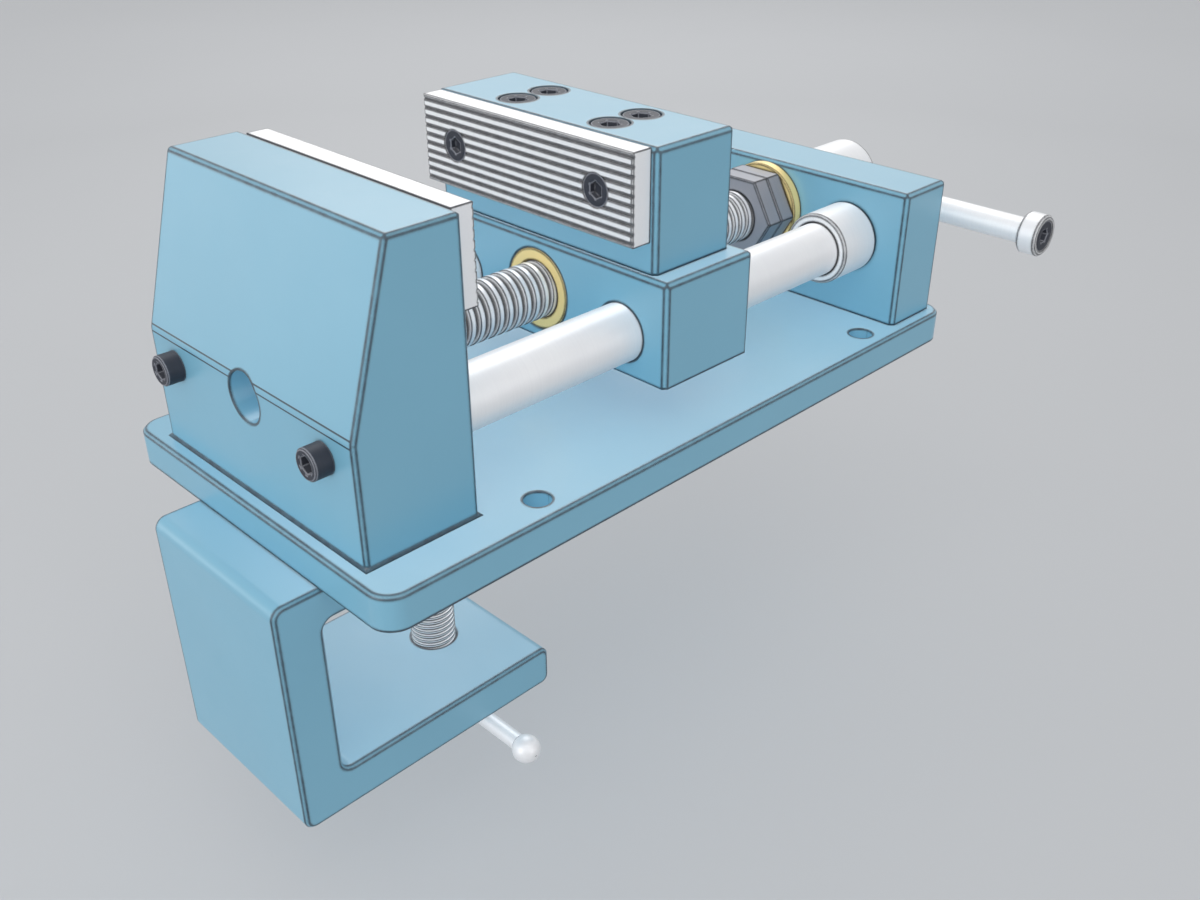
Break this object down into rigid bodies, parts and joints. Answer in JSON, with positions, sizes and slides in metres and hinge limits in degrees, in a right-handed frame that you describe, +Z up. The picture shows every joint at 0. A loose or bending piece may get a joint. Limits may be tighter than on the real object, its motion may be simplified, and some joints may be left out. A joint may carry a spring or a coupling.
{
  "type": "portable bench vise",
  "caption": "Portable bench vise with a lead screw, guide rods, grooved jaw plates, a sliding handle and a clamp bracket that grips a bench edge.",
  "frame": {"origin": "centre of the four bolt holes, on the underside of the base plate", "axes": "+X along the vise from the fixed jaw to the handle, +Y across it, +Z up"},
  "size_m": [0.3183, 0.198, 0.206],
  "materials": {
    "blue_paint": "smooth satin pale blue paint",
    "bright_steel": "ground and turned bright steel",
    "black_steel": "black oxide",
    "nut_steel": "dull grey phosphate",
    "brass": "turned brass"
  },
  "bodies": {
    "base": {"base_plate": "blue_paint", "fixed_jaw": "blue_paint", "fixed_jaw_plate": "bright_steel", "fixed_plate_screws": "black_steel", "guide_rod_left": "bright_steel", "guide_rod_right": "bright_steel", "rod_collar_left": "bright_steel", "rod_collar_right": "bright_steel", "rod_bolts_front": "black_steel", "rod_bolts_rear": "black_steel", "rear_block": "blue_paint", "rear_block_screws": "black_steel", "thrust_bush": "brass", "clamp_bracket": "blue_paint", "bracket_screws": "black_steel"},
    "carriage": {"carriage_block": "blue_paint", "upper_jaw": "blue_paint", "moving_jaw_plate": "bright_steel", "moving_plate_screws": "black_steel", "upper_jaw_screws": "black_steel", "lead_nut": "brass"},
    "spindle": {"lead_screw": "bright_steel", "jam_nut_front": "nut_steel", "jam_nut_rear": "nut_steel", "screw_hub": "bright_steel", "hub_pin": "black_steel"},
    "handle": {"handle_bar": "bright_steel", "handle_cap_left": "bright_steel", "handle_cap_right": "bright_steel", "cap_screws": "black_steel"},
    "clamp_pad": {"clamp_pad": "bright_steel"},
    "clamp_screw": {"clamp_screw": "bright_steel", "pad_snap_ring": "black_steel"},
    "clamp_bar": {"clamp_bar": "bright_steel", "clamp_ball_left": "bright_steel", "clamp_ball_right": "bright_steel"}
  },
  "joints": [
    {"name": "spindle_turn", "type": "hinge", "parent": "base", "child": "spindle", "pos_m": [0, 0, 0.046], "axis": [1, 0, 0], "range_deg": [-5418, 5625]},
    {"name": "carriage_slide", "type": "slide", "parent": "base", "child": "carriage", "axis": [1, 0, 0], "range_m": [-0.0602, 0.0625]},
    {"name": "handle_slide", "type": "slide", "parent": "spindle", "child": "handle", "axis": [0, 1, 0], "range_m": [-0.0757, 0.0757]},
    {"name": "clamp_slide", "type": "slide", "parent": "base", "child": "clamp_pad", "axis": [0, 0, 1], "range_m": [-0.028, 0.0015]},
    {"name": "clamp_turn", "type": "hinge", "parent": "clamp_pad", "child": "clamp_screw", "pos_m": [-0.086, -0.003, -0.093], "axis": [0, 0, 1], "range_deg": [-5040, 270]},
    {"name": "clamp_bar_slide", "type": "slide", "parent": "clamp_screw", "child": "clamp_bar", "axis": [0, 1, 0], "range_m": [-0.0357, 0.0357]}
  ],
  "couplings": [
    {"joint": "carriage_slide", "follows": "spindle_turn", "m_per_rad": 0.00063662},
    {"joint": "clamp_slide", "follows": "clamp_turn", "m_per_rad": 0.00031831}
  ]
}
